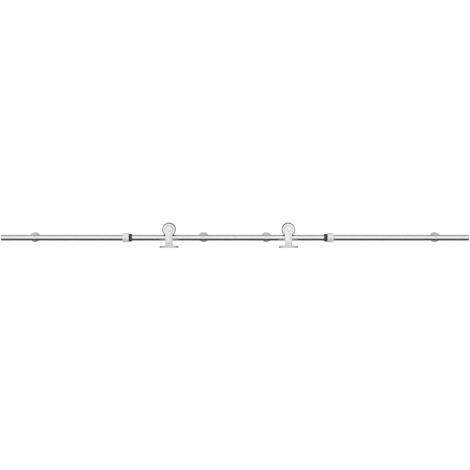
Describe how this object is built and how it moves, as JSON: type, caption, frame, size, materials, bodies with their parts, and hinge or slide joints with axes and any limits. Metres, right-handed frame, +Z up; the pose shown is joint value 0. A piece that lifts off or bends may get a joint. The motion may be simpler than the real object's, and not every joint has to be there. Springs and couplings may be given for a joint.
{
  "type": "sliding barn door hardware set",
  "caption": "Round steel rail on wall standoffs with two top-mount roller hangers and two clamped, rubber-faced door stops, for hanging a sliding door.",
  "frame": {"origin": "on the wall plane, at the middle of the rail's length and at the height of the rail's axis", "axes": "+X along the rail, +Y into the wall, +Z up; the front faces -Y"},
  "size_m": [2.004, 0.0733, 0.1066],
  "materials": {
    "rail_steel": "polished along its length",
    "bracket_steel": "fine brushed",
    "wheel_steel": "turned, satin",
    "turned_steel": "turned, satin",
    "fastener_steel": "bright stainless",
    "inner_steel": "plain drawn",
    "weld_steel": "dressed weld",
    "bearing_steel": "ground and polished",
    "core_polymer": "moulded black",
    "cage_polymer": "moulded",
    "buffer_rubber": "moulded black"
  },
  "bodies": {
    "rail_assembly": {"end_cap_left": "turned_steel", "end_cap_right": "turned_steel", "joiner_set_screws": "fastener_steel", "post_set_screws": "fastener_steel", "rail_joiner": "inner_steel", "rail_screws": "fastener_steel", "rail_tube_left": "rail_steel", "rail_tube_right": "rail_steel", "standoff_post_inner_left": "turned_steel", "standoff_post_inner_right": "turned_steel", "standoff_post_outer_left": "turned_steel", "standoff_post_outer_right": "turned_steel", "wall_flange_inner_left": "turned_steel", "wall_flange_inner_right": "turned_steel", "wall_flange_outer_left": "turned_steel", "wall_flange_outer_right": "turned_steel"},
    "left_hanger": {"left_anti_jump_pin": "turned_steel", "left_anti_jump_screw": "fastener_steel", "left_axle_bolt": "fastener_steel", "left_axle_front_spacer": "fastener_steel", "left_axle_middle_spacer": "fastener_steel", "left_axle_nut": "fastener_steel", "left_axle_rear_spacer": "fastener_steel", "left_bearing_inner_rings": "bearing_steel", "left_foot_plate": "bracket_steel", "left_foot_weld": "weld_steel", "left_strap": "bracket_steel"},
    "left_ball_train": {"left_bearing_balls": "bearing_steel", "left_bearing_cages": "cage_polymer"},
    "left_wheel": {"left_bearing_outer_rings": "bearing_steel", "left_bearing_shields": "bearing_steel", "left_wheel_back_plate": "core_polymer", "left_wheel_core": "core_polymer", "left_wheel_front_plate": "wheel_steel", "left_wheel_hub": "turned_steel"},
    "left_stop": {"left_stop_buffer": "buffer_rubber", "left_stop_clamp_screw": "fastener_steel", "left_stop_collar": "turned_steel"},
    "right_hanger": {"right_anti_jump_pin": "turned_steel", "right_anti_jump_screw": "fastener_steel", "right_axle_bolt": "fastener_steel", "right_axle_front_spacer": "fastener_steel", "right_axle_middle_spacer": "fastener_steel", "right_axle_nut": "fastener_steel", "right_axle_rear_spacer": "fastener_steel", "right_bearing_inner_rings": "bearing_steel", "right_foot_plate": "bracket_steel", "right_foot_weld": "weld_steel", "right_strap": "bracket_steel"},
    "right_ball_train": {"right_bearing_balls": "bearing_steel", "right_bearing_cages": "cage_polymer"},
    "right_wheel": {"right_bearing_outer_rings": "bearing_steel", "right_bearing_shields": "bearing_steel", "right_wheel_back_plate": "core_polymer", "right_wheel_core": "core_polymer", "right_wheel_front_plate": "wheel_steel", "right_wheel_hub": "turned_steel"},
    "right_stop": {"right_stop_buffer": "buffer_rubber", "right_stop_clamp_screw": "fastener_steel", "right_stop_collar": "turned_steel"}
  },
  "joints": [
    {"name": "left_hanger_slide", "type": "slide", "parent": "rail_assembly", "child": "left_hanger", "axis": [1, 0, 0], "range_m": [-0.139, 0.213]},
    {"name": "right_hanger_slide", "type": "slide", "parent": "rail_assembly", "child": "right_hanger", "axis": [1, 0, 0], "range_m": [-0.213, 0.134]},
    {"name": "left_stop_slide", "type": "slide", "parent": "rail_assembly", "child": "left_stop", "axis": [1, 0, 0], "range_m": [-0.35, 0]},
    {"name": "right_stop_slide", "type": "slide", "parent": "rail_assembly", "child": "right_stop", "axis": [1, 0, 0], "range_m": [0, 0.41]},
    {"name": "left_wheel_spin", "type": "hinge", "parent": "left_hanger", "child": "left_wheel", "pos_m": [-0.2825, -0.045, 0.0351], "axis": [0, 1, 0], "continuous": true},
    {"name": "left_ball_train_spin", "type": "hinge", "parent": "left_hanger", "child": "left_ball_train", "pos_m": [-0.2825, -0.045, 0.0351], "axis": [0, 1, 0], "continuous": true},
    {"name": "right_wheel_spin", "type": "hinge", "parent": "right_hanger", "child": "right_wheel", "pos_m": [0.2285, -0.045, 0.0351], "axis": [0, 1, 0], "continuous": true},
    {"name": "right_ball_train_spin", "type": "hinge", "parent": "right_hanger", "child": "right_ball_train", "pos_m": [0.2285, -0.045, 0.0351], "axis": [0, 1, 0], "continuous": true}
  ],
  "couplings": [
    {"joint": "left_wheel_spin", "follows": "left_hanger_slide", "rad_per_m": 44.843},
    {"joint": "left_ball_train_spin", "follows": "left_hanger_slide", "rad_per_m": 28.401},
    {"joint": "right_wheel_spin", "follows": "right_hanger_slide", "rad_per_m": 44.843},
    {"joint": "right_ball_train_spin", "follows": "right_hanger_slide", "rad_per_m": 28.401}
  ]
}
